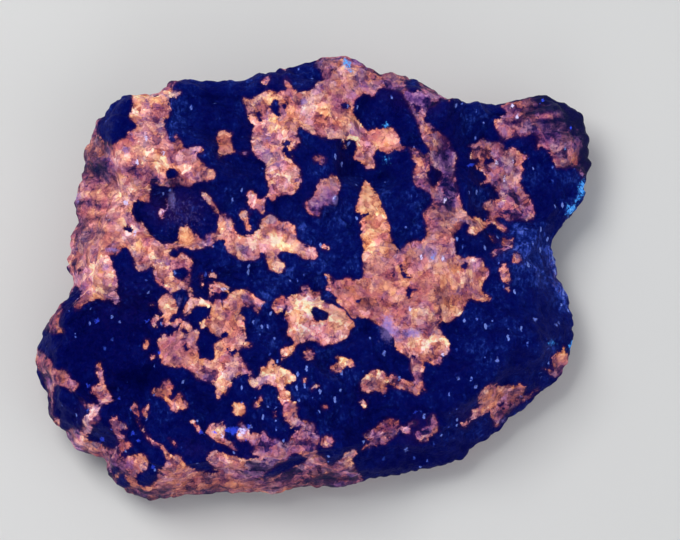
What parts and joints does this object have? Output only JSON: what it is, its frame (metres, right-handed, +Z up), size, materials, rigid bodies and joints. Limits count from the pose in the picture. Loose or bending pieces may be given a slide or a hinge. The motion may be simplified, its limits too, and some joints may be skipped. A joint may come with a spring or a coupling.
{
  "type": "sphalerite specimen",
  "caption": "Rough broken slab of ore, a dark granular stone with glowing orange sphalerite grown through it, lying on the flat of its underside.",
  "frame": {"origin": "on the table, under the middle of the slab's box", "axes": "+X along the slab's length, to the right of the picture; +Y to the far side; +Z up from the face it lies on"},
  "size_m": [0.1122, 0.0884, 0.0295],
  "materials": {
    "ore": "rough broken stone, orange sphalerite with a resinous sheen in a near-black granular matrix"
  },
  "bodies": {
    "root": {"sphalerite_slab": "ore"}
  },
  "joints": []
}
